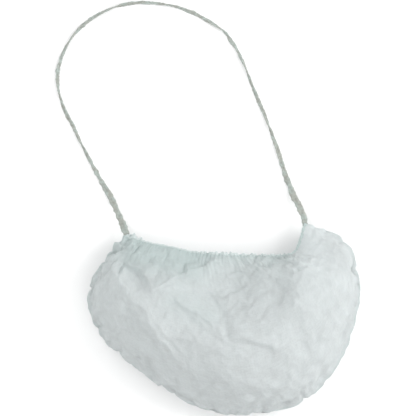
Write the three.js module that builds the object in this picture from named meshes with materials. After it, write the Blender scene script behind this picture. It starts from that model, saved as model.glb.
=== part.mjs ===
import * as THREE from 'three';

// Beard cover: a gathered pouch of thin nonwoven cloth with an elastic hem round its mouth
// and a long elastic loop that goes over the head. It lies on its back on a table.
// Millimetres, +Z up, +X to the right, +Y from the pouch towards the loop, table at Z = 0.

const WALL = 1.0;
const COLUMNS = 112;
const RINGS = 18;

const GATHER_DEPTH = 0.9;
const GATHER_REACH = 0.4;
const GATHER_FADE = { from: 0.05, to: 0.4 };

const HEM_GAP = 0.3;
const HEM_WIDTH = 3.0;
const HEM_THICKNESS = 1.8;
const HEM_CORNER_THICKNESS = 1.2;
const HEM_SIDES = 6;
const HEM_RUFFLE = 0.18;

// Runs of the hem, from one column of the mouth to another: along the front lip, up to the
// right corner and along the back lip.
const HEM_RUNS = [
  { name: 'front_hem', first: 0, last: 42 },
  { name: 'side_hem', first: 42, last: 56 },
  { name: 'back_hem', first: 58, last: 110 },
];

const LOOP_DIAMETER = 3.0;
const LOOP_SIDES = 8;
const LOOP_STEPS = 64;
const LOOP_REST_HEIGHT = LOOP_DIAMETER / 2 + 0.2;
const LOOP_END_HEIGHT = 8.4;
const LOOP_RISE_POINTS = 3;

const CLOTH_COLOUR = 0xdde6e4;
const HEM_COLOUR = 0xc9d6d4;
const LOOP_COLOUR = 0xb9bab0;

// Cross sections of the pouch from the mouth (first row) to the bottom of the bag (last row).
// left and right are the ends of the section in plan, sag is how far its middle drops towards
// the bottom of the bag and edge is the height of its ends. cheekL, panel and cheekR are the
// heights of the left cheek, the middle panel and the right cheek. under is the height of the
// underside, drop is how steeply the ends fall to it and setback is how far it lies behind the top.
const SECTION_COLUMNS = [
  'leftX', 'leftY', 'rightX', 'rightY', 'sag', 'edge',
  'cheekL', 'panel', 'cheekR', 'under', 'drop', 'setback',
];
const SECTION_ROWS = [
  [-67, 56.5, 56.5, 64.5, 24, 9, 19, 24, 21, 0, 2.2, 9],
  [-73, 47.5, 64, 60, 25, 11, 30, 27, 35, 0, 2.2, 7],
  [-81, 38.5, 76.5, 55, 26, 13, 42, 31, 50, 0, 2.2, 5],
  [-87.5, 27, 88, 41.5, 22, 16, 51, 37, 60, 0, 2.2, 3],
  [-92.3, 9, 92.5, 18, 12, 18, 56, 45, 65, 0, 2.2, 1],
  [-85.8, -7, 89, -3, 8, 18, 55, 54, 64, 0, 2.1, 0],
  [-79, -20, 81, -25, 5, 17, 49, 57, 58, 0, 1.8, 0],
  [-57, -38, 66.5, -46, 4, 15, 39, 48, 47, 0, 1.5, 0],
  [-34, -54, 53, -58.5, 2, 13, 27, 33, 32, 0, 1.1, 0],
  [-8, -65.3, 32, -64.8, 0.6, 12, 17, 20, 19, 5, 1, 0],
  [9, -67.5, 9, -67.5, 0, 12, 12, 12, 12, 12, 1, 0],
];
const LAST_SECTION = SECTION_ROWS.length - 1;

// Shape of the sagging mouth: share of the sag that is reached along the lip from left to right.
const LIP_ROWS = [
  { along: 0, share: 0 },
  { along: 0.15, share: 0.38 },
  { along: 0.3, share: 0.61 },
  { along: 0.5, share: 0.86 },
  { along: 0.7, share: 0.96 },
  { along: 0.88, share: 1 },
  { along: 0.95, share: 0.72 },
  { along: 1, share: 0 },
];
const LIP_FADE = 0.6;

// Main folds of the top in plan, from one end to the other. A positive height is a ridge and a
// negative one a valley.
const FOLD_ROWS = [
  { fromX: -66, fromY: 35, toX: -57, toY: 23, width: 5.5, height: -6 },
  { fromX: -74, fromY: 26, toX: -43, toY: -18, width: 7, height: 4 },
  { fromX: -43, fromY: -18, toX: -27, toY: -36, width: 6, height: 2.5 },
  { fromX: -44, fromY: 38, toX: -16, toY: 35, width: 7, height: -4 },
  { fromX: -3, fromY: 35, toX: -47, toY: 15, width: 5, height: 3 },
  { fromX: -34, fromY: 12, toX: -3, toY: -11, width: 6, height: 3.5 },
  { fromX: -34, fromY: 3, toX: -8, toY: -14, width: 5.5, height: -3 },
  { fromX: -7, fromY: 11, toX: 4, toY: -14, width: 5.5, height: -5 },
  { fromX: 6, fromY: -16, toX: 34, toY: -22, width: 5, height: 3.5 },
  { fromX: 48, fromY: 38, toX: 46, toY: 2, width: 7, height: -5 },
  { fromX: 46, fromY: -4, toX: 55, toY: -24, width: 6, height: -3 },
  { fromX: 66, fromY: 27, toX: 80, toY: 18, width: 5, height: 2.5 },
  { fromX: -63, fromY: -4, toX: -56, toY: -14, width: 6, height: -4 },
];

// Places along a section, from left to right, of the crests and the panel, and how full it is.
const CHEEK_LEFT_AT = 0.2;
const PANEL_AT = 0.52;
const CHEEK_RIGHT_AT = 0.82;
const CROWN_FULLNESS = 0.8;
const FOLD_FADE = { from: 0.1, to: 0.7 };

// Centre line of the loop in plan, from the left corner of the mouth round to the right one.
const LOOP_ROUTE = [
  [-66.5, 58.55], [-71.4, 69], [-77, 81], [-83.8, 93], [-90.6, 105.5], [-96.8, 117.5],
  [-103, 130.5], [-108.7, 141.5], [-112, 153], [-113, 164], [-110.7, 175], [-106.3, 185],
  [-99, 195], [-88.6, 203.5], [-75.7, 210], [-60.7, 213.5], [-46, 213], [-31.5, 210],
  [-18, 204.5], [-6.3, 198], [2.5, 190.5], [8.6, 181], [13.7, 170], [17.8, 159],
  [22.2, 148], [27, 137.5], [31.4, 126], [35.7, 115], [39.4, 103.5], [43.4, 92],
  [48, 81], [52.2, 72.5], [54.5, 66.6],
];

const { lerp, clamp, smoothstep } = THREE.MathUtils;

// Smooth reading of the section table at a place between two of its rows.
function readSection(place) {
  const row = Math.min(Math.floor(place), LAST_SECTION - 1);
  const part = place - row;
  const square = part * part;
  const cube = square * part;
  const section = {};
  SECTION_COLUMNS.forEach((name, column) => {
    const at = (index) => SECTION_ROWS[clamp(index, 0, LAST_SECTION)][column];
    const slopeBefore = (at(row + 1) - at(row - 1)) / 2;
    const slopeAfter = (at(row + 2) - at(row)) / 2;
    section[name] = (2 * cube - 3 * square + 1) * at(row) + (cube - 2 * square + part) * slopeBefore
      + (3 * square - 2 * cube) * at(row + 1) + (cube - square) * slopeAfter;
  });
  return section;
}

function lipShare(along) {
  const after = LIP_ROWS.find((row, index) => index > 0 && row.along >= along);
  const before = LIP_ROWS[LIP_ROWS.indexOf(after) - 1];
  return lerp(before.share, after.share, (along - before.along) / (after.along - before.along));
}

function crownHeight(section, along) {
  if (along < PANEL_AT) {
    return lerp(section.cheekL, section.panel, smoothstep(along, CHEEK_LEFT_AT, PANEL_AT));
  }
  return lerp(section.panel, section.cheekR, smoothstep(along, PANEL_AT, CHEEK_RIGHT_AT));
}

// Height that the folds add at a place in plan.
function foldHeight(x, y) {
  const spot = new THREE.Vector3(x, y, 0);
  const nearest = new THREE.Vector3();
  let height = 0;
  for (const fold of FOLD_ROWS) {
    const from = new THREE.Vector3(fold.fromX, fold.fromY, 0);
    const to = new THREE.Vector3(fold.toX, fold.toY, 0);
    new THREE.Line3(from, to).closestPointToPoint(spot, true, nearest);
    const away = nearest.distanceTo(spot) / fold.width;
    height += fold.height * Math.exp(-away * away);
  }
  return height;
}

// Outside of the pouch without its gathers. turn goes once round a section, from the left end
// over the top and back underneath. depth goes from the mouth (0) to the bottom of the bag (1).
function plainPoint(turn, depth) {
  const section = readSection(depth * LAST_SECTION);
  const angle = 2 * Math.PI * turn;
  const along = (1 - Math.cos(angle)) / 2;
  const lift = Math.abs(Math.sin(angle));
  const bow = lerp(lipShare(along), 4 * along * (1 - along), smoothstep(depth, 0, LIP_FADE));
  const x = lerp(section.leftX, section.rightX, along);
  const y = lerp(section.leftY, section.rightY, along) - section.sag * bow;
  if (Math.sin(angle) >= 0) {
    const crown = crownHeight(section, along);
    const z = lerp(section.edge, crown, Math.pow(lift, CROWN_FULLNESS));
    const fold = foldHeight(x, y) * smoothstep(lift, FOLD_FADE.from, FOLD_FADE.to);
    return new THREE.Vector3(x, y, z + fold);
  }
  const under = Math.max(0, section.under);
  const z = Math.max(under, lerp(section.edge, under, section.drop * lift));
  return new THREE.Vector3(x, y - section.setback * lift, z);
}

// Gathers alternate from column to column and die out at the corners of the mouth.
function gatherWave(column) {
  const lift = Math.abs(Math.sin((2 * Math.PI * column) / COLUMNS));
  return (column % 2 === 0 ? 1 : -1) * smoothstep(lift, GATHER_FADE.from, GATHER_FADE.to);
}

// Gathers fade out away from the mouth. Underneath they only rise from the table.
function gatherHeight(column, depth) {
  const wave = gatherWave(column);
  const rise = column <= COLUMNS / 2 ? wave : Math.abs(wave) - wave;
  return GATHER_DEPTH * (1 - smoothstep(depth, 0, GATHER_REACH)) * rise;
}

// Outside points of the pouch, a ring of columns for each step from the mouth to the bottom.
function outsideGrid() {
  return Array.from({ length: RINGS }, (_, ring) => Array.from({ length: COLUMNS }, (__, column) => {
    const point = plainPoint(column / COLUMNS, ring / RINGS);
    point.z += gatherHeight(column, ring / RINGS);
    return point;
  }));
}

// Direction out of the cloth and direction along it towards the mouth, at one grid point.
function clothFrame(grid, ring, column) {
  const before = grid[ring][(column + COLUMNS - 1) % COLUMNS];
  const after = grid[ring][(column + 1) % COLUMNS];
  const mouthSide = grid[Math.max(ring - 1, 0)][column];
  const bottomSide = ring + 1 < RINGS ? grid[ring + 1][column] : plainPoint(0, 1);
  const mouthward = mouthSide.clone().sub(bottomSide).normalize();
  const outward = after.clone().sub(before).cross(mouthward).normalize();
  return { mouthward, outward };
}

function indexedGeometry(points, triangles) {
  const geometry = new THREE.BufferGeometry();
  const coordinates = points.flatMap((point) => point.toArray());
  geometry.setAttribute('position', new THREE.Float32BufferAttribute(coordinates, 3));
  geometry.setIndex(triangles.flat());
  geometry.computeVertexNormals();
  return geometry;
}

// Two triangles for each column between two closed rows of points. An inner wall is turned over
// along the same diagonals, so that it stays parallel to the outer one.
function joinRows(startA, startB, count, inner = false) {
  const triangles = [];
  for (let column = 0; column < count; column += 1) {
    const next = (column + 1) % count;
    triangles.push([startA + column, startB + column, startB + next]);
    triangles.push([startA + column, startB + next, startA + next]);
  }
  return inner ? triangles.map((triangle) => triangle.reverse()) : triangles;
}

function pouchGeometry(grid) {
  const inside = grid.map((points, ring) => points.map((point, column) => {
    return point.clone().addScaledVector(clothFrame(grid, ring, column).outward, -WALL);
  }));
  const bottom = plainPoint(0, 1);
  const bottomInside = bottom.clone().add(new THREE.Vector3(0, WALL, 0));
  const points = [...grid.flat(), ...inside.flat(), bottom, bottomInside];
  const layer = RINGS * COLUMNS;
  const triangles = joinRows(layer, 0, COLUMNS);
  for (let ring = 0; ring < RINGS - 1; ring += 1) {
    const start = ring * COLUMNS;
    triangles.push(...joinRows(start, start + COLUMNS, COLUMNS));
    triangles.push(...joinRows(layer + start, layer + start + COLUMNS, COLUMNS, true));
  }
  const lastStart = layer - COLUMNS;
  for (let column = 0; column < COLUMNS; column += 1) {
    const next = (column + 1) % COLUMNS;
    triangles.push([lastStart + column, 2 * layer, lastStart + next]);
    triangles.push([layer + lastStart + next, 2 * layer + 1, layer + lastStart + column]);
  }
  return indexedGeometry(points, triangles);
}

// Ruffled hem: a flat tube just beyond the edge of the cloth. Its two ends are pulled in by half
// a gap, so that runs that share a column stay apart.
function hemGeometry(grid, first, last) {
  const rim = grid[0].slice(first, last + 1).map((point, index) => {
    const column = first + index;
    const { mouthward, outward } = clothFrame(grid, 0, column);
    const reach = HEM_WIDTH * (1 + HEM_RUFFLE * gatherWave(column));
    const centre = point.clone().addScaledVector(outward, -WALL / 2);
    centre.addScaledVector(mouthward, HEM_GAP + reach / 2);
    centre.z = Math.max(centre.z, HEM_THICKNESS / 2);
    const thickness = lerp(HEM_CORNER_THICKNESS, HEM_THICKNESS, Math.abs(gatherWave(column)));
    return { centre, mouthward, outward, reach, thickness };
  });
  const pullIn = (tip, beside) => {
    tip.centre.addScaledVector(beside.centre.clone().sub(tip.centre).normalize(), HEM_GAP / 2);
  };
  pullIn(rim[0], rim[1]);
  pullIn(rim.at(-1), rim.at(-2));
  const points = [];
  for (const { centre, mouthward, outward, reach, thickness } of rim) {
    for (let side = 0; side < HEM_SIDES; side += 1) {
      const angle = (2 * Math.PI * side) / HEM_SIDES;
      const point = centre.clone().addScaledVector(mouthward, -Math.cos(angle) * reach / 2);
      points.push(point.addScaledVector(outward, Math.sin(angle) * thickness / 2));
    }
  }
  const triangles = [];
  const end = (rim.length - 1) * HEM_SIDES;
  for (let start = 0; start < end; start += HEM_SIDES) {
    triangles.push(...joinRows(start, start + HEM_SIDES, HEM_SIDES));
  }
  for (let side = 1; side < HEM_SIDES - 1; side += 1) {
    triangles.push([0, side, side + 1], [end, end + side + 1, end + side]);
  }
  return indexedGeometry(points, triangles);
}

// Elastic loop: a thin tube that lies on the table and rises at both ends to the mouth.
function loopGeometry() {
  const last = LOOP_ROUTE.length - 1;
  const route = LOOP_ROUTE.map(([x, y], index) => {
    const rise = 1 - smoothstep(Math.min(index, last - index), 0, LOOP_RISE_POINTS);
    return new THREE.Vector3(x, y, lerp(LOOP_REST_HEIGHT, LOOP_END_HEIGHT, rise));
  });
  const section = new THREE.Shape();
  section.absarc(0, 0, LOOP_DIAMETER / 2, 0, 2 * Math.PI);
  return new THREE.ExtrudeGeometry(section, {
    extrudePath: new THREE.CatmullRomCurve3(route, false, 'centripetal'),
    steps: LOOP_STEPS,
    curveSegments: LOOP_SIDES / 2,
    bevelEnabled: false,
  });
}

function namedMesh(name, geometry, color, roughness) {
  const mesh = new THREE.Mesh(geometry, new THREE.MeshStandardMaterial({ color, roughness, metalness: 0 }));
  mesh.name = name;
  return mesh;
}

const cover = new THREE.Group();
const cloth = outsideGrid();
cover.add(namedMesh('pouch', pouchGeometry(cloth), CLOTH_COLOUR, 0.9));
for (const { name, first, last } of HEM_RUNS) {
  cover.add(namedMesh(name, hemGeometry(cloth, first, last), HEM_COLOUR, 0.9));
}
cover.add(namedMesh('head_loop', loopGeometry(), LOOP_COLOUR, 0.85));

export default cover;
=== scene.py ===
import math

import bpy
import numpy as np
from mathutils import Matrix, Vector, noise


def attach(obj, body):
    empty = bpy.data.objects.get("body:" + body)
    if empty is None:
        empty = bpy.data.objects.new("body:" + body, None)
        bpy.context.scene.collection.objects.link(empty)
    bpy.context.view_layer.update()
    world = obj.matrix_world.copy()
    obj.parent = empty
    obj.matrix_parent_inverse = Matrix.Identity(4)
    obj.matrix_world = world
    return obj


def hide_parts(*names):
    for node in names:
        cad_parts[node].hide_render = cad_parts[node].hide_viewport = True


# Looks of a beard cover that lies on a table: a gathered nonwoven pouch, the ruffled hem round
# its mouth and a crinkled elastic head loop. Tables are in millimetres, Blender is in metres.

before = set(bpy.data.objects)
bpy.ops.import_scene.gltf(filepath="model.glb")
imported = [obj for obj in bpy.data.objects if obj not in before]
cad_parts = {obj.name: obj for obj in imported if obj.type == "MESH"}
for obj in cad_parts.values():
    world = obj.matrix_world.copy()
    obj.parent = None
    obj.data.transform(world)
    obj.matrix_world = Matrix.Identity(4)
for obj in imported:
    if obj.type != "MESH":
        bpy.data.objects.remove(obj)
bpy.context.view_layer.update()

bl_info = {
    "name": "Beard cover",
    "version": (1, 0, 0),
    "blender": (4, 5, 0),
    "location": "3D View > Sidebar > Beard cover",
    "description": "Builds a gathered nonwoven beard cover with its hem, head loop and stage",
    "category": "Object",
}

MM = 0.001
FULL_TURN = 2 * math.pi

# Least height of any point above the table, and the least length that is divided by, in metres.
TABLE_GAP = 0.0001
TINY = 1e-12

# A noise is given by its size and its seed. This is the step between the noises of two seeds.
NOISE_STEP = (17.3, 9.1, 4.7)

# Sections of the pouch from its mouth to the bottom of the bag, within 4 mm of the CAD part's.
# left and right are the ends in plan, sag is the drop of the middle, edge is the height of the
# ends, cheeks and panel are heights of the top, under is the height of the underside, drop is how
# steeply the ends fall to it and setback is how far it lies behind the top.
SECTION_NAMES = ("left_x", "left_y", "right_x", "right_y", "sag", "edge",
                 "cheek_left", "panel", "cheek_right", "under", "drop", "setback")
SECTION_ROWS = np.array((
    (-65.3, 53, 56, 62, 22.2, 9, 19, 24, 21, 0, 2.2, 9),
    (-71.8, 46.8, 64, 59.5, 24.5, 11, 30, 27, 35, 0, 2.2, 7),
    (-79.8, 38, 76, 54.5, 26, 13, 42, 31, 50, 0, 2.2, 5),
    (-86.4, 27, 87.6, 41.5, 22, 16, 51, 37, 60, 0, 2.2, 3),
    (-91.5, 9, 92, 18, 12, 18, 56, 45, 65, 0, 2.2, 1),
    (-85.4, -7, 89.2, -3, 8, 18, 55, 54, 64, 0, 2.1, 0),
    (-78.6, -20, 81.6, -25.4, 5, 17, 49, 57, 58, 0, 1.8, 0),
    (-56.8, -38, 67.2, -46.6, 4, 15, 39, 48, 47, 0, 1.5, 0),
    (-34, -54, 53.6, -59, 2, 13, 27, 33, 32, 0, 1.1, 0),
    (-8, -65.6, 32, -65.2, 0.6, 12, 17, 20, 19, 5, 1, 0),
    (9, -68, 9, -68, 0, 12, 12, 12, 12, 12, 1, 0),
))
LAST_SECTION = len(SECTION_ROWS) - 1

# Sag of the lip from left to right, as a share of the section's sag.
LIP_ALONG = (0, 0.06, 0.134, 0.258, 0.361, 0.465, 0.63, 0.75, 0.878, 0.922, 0.945, 0.962, 0.98, 1)
LIP_SHARE = (0, 0.1, 0.25, 0.43, 0.62, 0.73, 0.83, 0.885, 0.92, 0.9, 0.8, 0.6, 0.31, 0)
LIP_FADE = 0.6
CHEEK_LEFT_AT = 0.2
PANEL_AT = 0.52
CHEEK_RIGHT_AT = 0.82
CROWN_FULLNESS = 0.8

# Where the folds begin on the flanks, and how much higher they are on the left and up to where.
FOLD_FADE = (0.1, 0.7)
FOLD_LEFT_FULLNESS = 1.4
FOLD_FULLNESS_RANGE = (-25, 25)

# Folds of the top in plan: from x, y to x, y, width and height.
FOLD_ROWS = (
    (-66, 35, -57, 23, 5.5, -6), (-74, 26, -43, -18, 7, 5), (-43, -18, -27, -36, 6, 3),
    (-44, 38, -16, 35, 7, -4), (-3, 35, -47, 15, 5, 3), (-34, 12, -3, -11, 6, 3.5),
    (-34, 3, -8, -14, 5.5, -3), (-7, 11, 4, -14, 5.5, -5), (6, -16, 34, -22, 5, 3.5),
    (38, 42, 36, 6, 8, -7), (46, -4, 55, -24, 6, -3), (66, 27, 80, 18, 5, 2.5),
    (-63, -4, -54, -18, 6, -5.5),
)

# Thin creases of the top in plan, which the solids leave out: width, height and a line of points.
CREASE_ROWS = (
    (1.3, 1.0, ((-3.6, 35.4), (-24, 27.2), (-36, 20), (-47.1, 15.6))),
    (2.4, 1.4, ((5.9, -14.3), (18, -16.5), (33.1, -21.8))),
    (1.6, -0.8, ((4, -18.5), (17, -20.5), (31, -25))),
    (1.6, 1.0, ((-0.9, -19.7), (8, -23), (16.8, -24.6))),
    (1.6, 0.9, ((7.3, -9.5), (16, -8), (25, -8.8))),
    (1.6, -0.5, ((-7.7, 10.9), (-2, 0), (3.9, -15))),
    (1.6, -0.5, ((-34, 6.5), (-20, -1), (-4.5, -13.5))),
    (1.6, 0.8, ((-73, 25.8), (-66, 14), (-57, 6), (-51, -3), (-46, -12), (-39, -21), (-27, -34))),
    (1.4, 0.6, ((-58, 14), (-49, -1), (-38, -15), (-26, -27))),
    (1.5, -0.7, ((-70, 9), (-61, -5), (-51, -19), (-40, -33))),
    (1.4, 0.5, ((-80, 6), (-72, -6), (-62, -18))),
    (1.8, 0.5, ((65, 30.5), (78.9, 24.2), (85.1, 11.6), (81.4, -3.4))),
    (1.6, 0.4, ((70, 21.8), (76.4, 11.6), (78.9, 1.6))),
    (1.7, -0.4, ((60, 33), (70, 28.5), (77, 18))),
    (1.8, 0.4, ((19.5, -49), (33, -49.5), (46.7, -51.7))),
    (1.5, 0.6, ((-58, 42), (-50, 39), (-41, 41))),
    (1.4, -0.7, ((-68, 36), (-62, 29), (-55, 24))),
    (1.5, 0.6, ((-62, 33), (-57, 30), (-52, 25))),
    (1.4, 0.5, ((-74, 18), (-66, 17), (-60, 11))),
    (1.4, -0.5, ((36, 22), (38.5, 16.5), (37, 9))),
)
CREASE_WANDER = 2.6
CREASE_WANDER_SIZE = 9.0
CREASE_WANDER_SEEDS = (11, 12)

# Patches of the top in plan with painted shade (share above 0) or painted light (below 0): from x,
# y to x, y, width and share.
PAINTED_PATCH_ROWS = ((-60, 40, -22, 33, 11, 0.42), (-30, 6, -11, -1, 10, 0.2), (60, 54, 60, 36, 11, -0.9))
PAINTED_LIGHT_TONE = 1.13

# Small chance creases of the top, which lie roughly round the mouth: how many, where in plan and
# their limits. ridges is the share of them that rise.
SMALL_CREASES = 90
SMALL_CREASE_SEED = 7
SMALL_CREASE_CENTRE = (2, 40)
SMALL_CREASE_FIELD = ((-82, -56), (84, 34))
SMALL_CREASE = {"lean": 0.5, "half": (3, 9), "bend": 1.2, "rise": (0.25, 0.55), "ridges": 0.7,
                "width": (0.9, 1.5)}

# Short creases that notch the outline, in the same form.
NOTCH_ROWS = (
    (1.8, -0.9, ((-88, -11), (-82, -8))), (1.8, -0.9, ((-74, -31), (-67, -25))),
    (1.6, -1.0, ((-47, -53), (-43, -49))), (1.6, -0.8, ((-38, -60), (-32, -53))),
    (1.6, -0.5, ((-10, -71), (-8, -63))), (1.6, -0.6, ((27, -71), (26, -63))),
    (1.6, -0.8, ((57, -63), (52, -55))), (1.6, -0.8, ((63, -58), (58, -51))),
    (1.6, -0.7, ((63, 63), (61, 57))), (1.6, -0.7, ((72, 60), (69, 54))),
    (1.6, -0.6, ((83, 53), (78, 48))), (1.6, -0.5, ((95, 32), (89, 30))),
    (1.6, -0.6, ((-96, 20), (-89, 18))), (1.4, -0.7, ((-86, 40), (-80, 36))),
    (1.2, -1.0, ((-75, 42.5), (-69, 44))), (1.4, 1.0, ((-77, 49), (-70, 46.5))),
    (1.6, 0.8, ((-71, 54), (-68, 50))),
)

# Centre line of the head loop in plan, from the left corner of the mouth to the right one.
LOOP_ROUTE = (
    (-64.4, 51.6), (-66.6, 57.6), (-71.4, 69), (-77, 81), (-83.8, 93), (-90.6, 105.5),
    (-96.8, 117.5), (-103, 130.5), (-108.7, 141.5), (-112, 153), (-113, 164), (-110.7, 175),
    (-106.3, 185), (-99, 195), (-88.6, 203.5), (-75.7, 210), (-60.7, 213.5), (-46, 213.4),
    (-31.2, 210.7), (-17.6, 205.3), (-5.8, 198.5), (-1.2, 195.3), (2.1, 192.5), (4.3, 189.3),
    (9.3, 181.4), (14.6, 170.4), (18.7, 159.4), (23.1, 148.4), (27.8, 137.9), (32.1, 126.3),
    (36.3, 115.2), (39.9, 103.7), (43.7, 92.1), (48.1, 81), (52.2, 72.5), (54.5, 66.6),
    (55.6, 60.8),
)
LOOP_REST_HEIGHT = 1.7
LOOP_END_HEIGHT = 8.4
LOOP_RISE_POINTS = 4
LOOP_STEPS_PER_POINT = 20
LOOP_SIDES = 20

# Strip of the loop: how suddenly it turns over, the depth and width of the groove along each flat
# side, lengths from its ends in metres, how uneven and crinkled it is, the painted shade of its
# hollows and the tint of its painted highlight patches.
LOOP_FLIP = 0.85
LOOP_GROOVE_DEPTH = 0.45
LOOP_GROOVE_WIDTH = 0.3
LOOP_FREE_BLEND = 0.02
LOOP_WIDE_END = (0.01, 0.075)
LOOP_LYING = (0.02, 0.04)
LOOP_SWAY = (0.25, 0.6)
LOOP_SWAY_NOISE = (0.021, 1)
LOOP_UNEVEN = 0.3
LOOP_WIDTH_NOISE = (0.005, 2)
LOOP_THICKNESS_NOISE = (0.004, 3)
LOOP_CRINKLE_RADIUS = 0.002
LOOP_CRINKLE_NOISE = (0.0019, 4)
LOOP_CRINKLE_ACROSS = 0.5
LOOP_CRINKLE_RISE = 0.6
LOOP_CUT_RADIUS = 0.0015
HOLLOW_OF_GROOVE = 0.5
HOLLOW_OF_CRINKLE = 1.2
HOLLOW_SHADE_SHARE = 0.7
HIGHLIGHT_TINT = (1.06, 1.18, 1.22)

# Gathers and pleats round the mouth: where they start and end, in millimetres from the mouth, how
# high they are on the left and on the right of the lip and beside the right end of the loop, and
# how they fade towards the two ends of a section.
PLEAT_START = (0, 8)
PLEAT_END = (10, 44)
PLEAT_SEED = 5
PLEAT_WANDER = 5.0
GATHER_FADE = 24
GATHER_SEED = 8
GATHER_WANDER = 4.0
GATHER_UNEVEN = 0.9
GATHER_UNEVEN_NOISE = (0.017, 9)
GATHER_WAVE_SIZE = 0.16
GATHER_WAVE_DEPTH = 1.5
GATHER_SIDES = (0.45, 1.5)
GATHER_SIDES_RANGE = (0.28, 0.5)
GATHER_CORNER_LOSS = 0.85
GATHER_CORNER_RANGE = (0.88, 0.94)
GATHER_END_FADE = (0.03, 0.35)

# Small ridges of the top, height in metres, and how far from the mouth they come in.
TOP_RIDGES = ((0.0011, (0.011, 6)), (0.0005, (0.006, 7)))
TOP_RIDGE_FADE = 18

# Tufts of cloth at the ties, where the loop's two ends go in: turn and height, and their reach in
# metres.
TUFT_ROWS = ((0.0, 0.0028), (0.5, 0.0012))
TUFT_REACH = 0.012
TUFT_NOISE = (0.0038, 13)

# Walls are where the cloth is steep: upward share of its direction for a full wall and for none,
# on the left and on the right, and heights off the table in metres. The outline is where the cloth
# stands upright.
WALL_STEEP = 0.3
WALL_FLAT = (0.9, 0.75)
WALL_FLAT_RANGE = (-10, 40)
WALL_OFF_TABLE = (0.001, 0.006)
OUTLINE_STEEP = 0.35
OUTLINE_FOLDS = 0.5

# Left flank, which slopes less than a wall and still takes some of the fan of puffs: its limits
# of slope, where it ends in plan, its share of the puffs and its slack.
FLANK_STEEP = (0.55, 0.95)
FLANK_RANGE = (-30, 10)
FLANK_FOLDS = 0.65
FLANK_SLACK = 0.8

# Folds of the walls: how many puffs there would be in a full turn, heights in metres, where they
# start and end in millimetres from the mouth, and chance creases on the flat cloth, whose radius
# is taken as FLAT_RADIUS.
FAN_COUNT = 30
FAN_HEIGHT = 0.0019
FAN_MEAN = 1.2
FAN_STRENGTH = (0.55, 1.5)
FAN_DRIFT = 3.2
FAN_DRIFT_NOISE = (0.2, 15)
FAN_STRENGTH_NOISE = (0.12, 16)
FAN_DEPTH = 0.9
FAN_START = (1, 14)
FAN_END = (45, 110)
WALL_RIDGE = 0.002
WALL_RIDGE_NOISE = ((1.6, (0.016, 17)), (1.0, (0.008, 18)))
WALL_RIDGE_MEAN = 0.35
WALL_START = (3, 20)
FLAT_RADIUS = 100
WALL_CREASES = 130
WALL_CREASE_SEED = 21
WALL_CREASE_FIELD = (15, 88)
WALL_CREASE = {"lean": 0.7, "half": (5, 14), "bend": 2.0, "rise": (0.5, 1.1), "ridges": 0.6,
               "width": (1.3, 2.2)}

# Slack of the cloth on top, and places in plan where it is slacker or tighter: x, y, width and
# share.
SLACK_MEAN = 0.16
SLACK_ROWS = ((-50, -20, 26, 0.4), (14, 28, 26, 0.08), (-14, 2, 22, 0.25), (-45, 32, 22, 0.25),
              (66, 22, 26, -0.16), (20, -45, 32, -0.16))

# Simulation of the crumple: frames, the cloth's settings, the share of the ease where the cloth is
# tightest, how strongly its top and its walls keep their place, the height up to which it stays on
# the table, and how far its outline and its walls may move in and out.
CRUMPLE_FRAMES = 20
CRUMPLE_CLOTH = {"quality": 5, "mass": 0.01, "tension_stiffness": 20.0,
                 "compression_stiffness": 20.0, "shear_stiffness": 8.0, "bending_stiffness": 0.003,
                 "air_damping": 2.0, "pin_stiffness": 1.0}
EASE_LEAST = 0.25
HOLD_TOP = 0.1
HOLD_WALL = 0.16
HOLD_HEIGHT = 0.0004
OUTLINE_MOVE = (0.0014, 0.0006)
WALL_MOVE = (0.0035, 0.0016)

# Grid of the cloth: cells from its middle to its edge, and the length of cloth from the mouth to
# the bottom of the bag in millimetres.
CLOTH_CELLS = 110
PATH_LENGTH = 150.0

# Tone of gathered cloth at the hem, and painted shade beyond it under the rim: shares and reaches
# in millimetres, the share that is left beside the right end of the loop, and painted shade along
# the two sides.
TONE_HEM = (0.6, 4)
UNDER_RIM_SHADE = (0.5, 26)
TONE_CORNER = 0.1
TONE_CORNER_RANGE = (0.86, 0.93)
SIDE_SHADE_SHARE = 0.35
SIDE_SHADE_WIDTH = 0.22

# Hem: its grid, the ring of the cloth that it is aimed from, and shares along the lip. The flare
# is the loose tuft beside the left end of the loop, in metres from it.
HEM_COLUMNS = 8 * CLOTH_CELLS
HEM_SIDES = 12
HEM_BASE_RING = 4
HEM_AIM_STEPS = 4
HEM_RIGHT_RANGE = (0.36, 0.5)
HEM_LEFT_WIDTH = 0.75
HEM_LOOSE = (0.35, 1.4)
HEM_FLANK = (0.02, 0.3)
HEM_BAND_RANGE = (0.9, 0.94)
HEM_BAND_LOOSE = 0.15
HEM_CORNER_THICKNESS = 0.7
# Tone of the hem's gathers along the lip, darker at the band beside the right end of the loop:
# there partly the hem seen on edge and partly painted shade.
HEM_GATHERS_AND_SHADE = (0.35, 1.0)
HEM_FULLNESS = 2.2
HEM_SEE_THROUGH = 0.25
HEM_UNEVENNESS = 1.1
HEM_SEED = 4.0
RUFFLE_DRIFT = 0.45
RUFFLE_UNEVEN = 1.6
RUFFLE_SPREAD = 0.8
FLARE_START = (0, 0.003)
FLARE_END = (0.012, 0.0135)
FLARE_UNEVEN = 0.5
FLARE_NOISE = (0.004, 19)
FLARE_LOOSE = 0.8

# Studio: half the side of the floor, its drop below the table's height, and the lights with their
# place, size and share of the key light's power.
FLOOR_HALF = 4.0
FLOOR_DROP = 0.0002
LIGHT_ROWS = (
    ("Key light", (1.06, 0.22, 0.66), 0.8, 1.0),
    ("Fill light", (0.25, -0.95, 1.2), 1.2, 0.52),
    ("Back light", (-0.7, 0.8, 0.9), 1.0, 0.49),
)


def smooth_step(value, low, high):
    share = np.clip((value - low) / (high - low), 0, 1)
    return share * share * (3 - 2 * share)


def blend(first, second, share):
    return first + (second - first) * share


def noise_at(points, size, seed):
    """Smooth noise between -1 and 1 with features of about the given size."""
    shift = Vector([step * seed for step in NOISE_STEP])
    flat = points.reshape(-1, 3) / size
    values = [noise.noise(Vector(point) + shift) for point in flat]
    return np.array(values).reshape(points.shape[:-1])


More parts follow.
